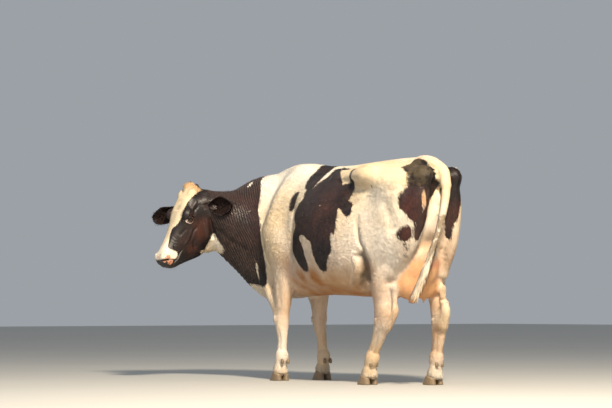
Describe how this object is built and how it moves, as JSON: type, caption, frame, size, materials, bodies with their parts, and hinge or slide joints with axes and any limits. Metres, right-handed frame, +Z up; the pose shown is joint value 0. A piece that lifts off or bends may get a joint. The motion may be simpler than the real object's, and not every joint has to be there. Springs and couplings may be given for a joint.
{
  "type": "cow",
  "caption": "Life-size standing dairy cow in a white coat with dark patches, head turned to the left, udder and hanging tail.",
  "frame": {"origin": "middle of the bounding box on the floor the cow stands on", "axes": "+Z up, -X the way the body faces, -Y the cow's left, to which the head is turned"},
  "size_m": [2.3354, 1.1482, 1.4741],
  "materials": {
    "white_coat": "short cream-white hair lying flat, matt with a soft sheen",
    "black_coat": "short black hair lying flat, brown where it thins, with a soft sheen",
    "udder_skin": "thin pink skin under sparse fine hair, satin",
    "claw_horn": "grey-brown horn with growth rings, satin",
    "eye_ball": "wet, very dark brown"
  },
  "bodies": {
    "root": {"barrel": "white_coat", "chest": "white_coat", "ear_left": "black_coat", "ear_right": "black_coat", "eye_left": "eye_ball", "eye_right": "eye_ball", "foreleg_left_claw_inner": "claw_horn", "foreleg_left_claw_outer": "claw_horn", "foreleg_left_dewclaw_inner": "claw_horn", "foreleg_left_dewclaw_outer": "claw_horn", "foreleg_left_forearm": "white_coat", "foreleg_left_pastern": "white_coat", "foreleg_left_shank": "white_coat", "foreleg_right_claw_inner": "claw_horn", "foreleg_right_claw_outer": "claw_horn", "foreleg_right_dewclaw_inner": "claw_horn", "foreleg_right_dewclaw_outer": "claw_horn", "foreleg_right_forearm": "white_coat", "foreleg_right_pastern": "white_coat", "foreleg_right_shank": "white_coat", "head": "black_coat", "hindleg_left_claw_inner": "claw_horn", "hindleg_left_claw_outer": "claw_horn", "hindleg_left_dewclaw_inner": "claw_horn", "hindleg_left_dewclaw_outer": "claw_horn", "hindleg_left_gaskin": "white_coat", "hindleg_left_pastern": "white_coat", "hindleg_left_shank": "white_coat", "hindleg_left_thigh": "white_coat", "hindleg_right_claw_inner": "claw_horn", "hindleg_right_claw_outer": "claw_horn", "hindleg_right_dewclaw_inner": "claw_horn", "hindleg_right_dewclaw_outer": "claw_horn", "hindleg_right_gaskin": "white_coat", "hindleg_right_pastern": "white_coat", "hindleg_right_shank": "white_coat", "hindleg_right_thigh": "white_coat", "hindquarters": "white_coat", "lower_jaw": "black_coat", "muzzle": "white_coat", "neck": "black_coat", "tail": "white_coat", "tail_switch": "white_coat", "teat_front_left": "udder_skin", "teat_front_right": "udder_skin", "teat_rear_left": "udder_skin", "teat_rear_right": "udder_skin", "udder": "udder_skin"}
  },
  "joints": []
}
